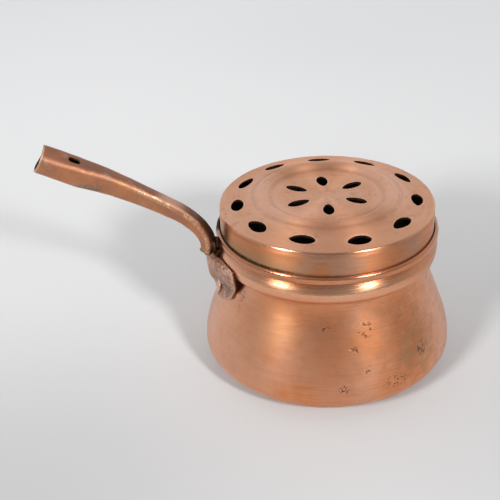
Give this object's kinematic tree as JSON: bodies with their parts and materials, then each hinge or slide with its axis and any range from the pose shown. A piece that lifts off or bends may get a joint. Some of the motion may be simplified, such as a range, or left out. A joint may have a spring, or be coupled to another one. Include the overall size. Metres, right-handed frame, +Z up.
{
  "type": "hand warmer",
  "caption": "Round copper hand warmer with a pierced lift-off lid and a rolled tube handle, for hot embers.",
  "frame": {"origin": "middle of the pot's flat base", "axes": "+Z up along the pot's axis, -X towards the handle, the handle in the XZ plane"},
  "size_m": [0.2278, 0.1432, 0.1477],
  "materials": {
    "pot_copper": "bare spun copper, worn satin, no lacquer",
    "lid_copper": "bare spun copper, cleaner than the pot",
    "handle_copper": "rolled copper sheet, darker where it was heated",
    "rivet_copper": "hammered copper rivet"
  },
  "bodies": {
    "vessel": {"pot": "pot_copper", "handle": "handle_copper", "tab": "handle_copper", "rivet": "rivet_copper"},
    "cover": {"lid": "lid_copper"}
  },
  "joints": [
    {"name": "lid_lift", "type": "slide", "parent": "vessel", "child": "cover", "axis": [0, 0, 1], "range_m": [0, 0.06]}
  ]
}
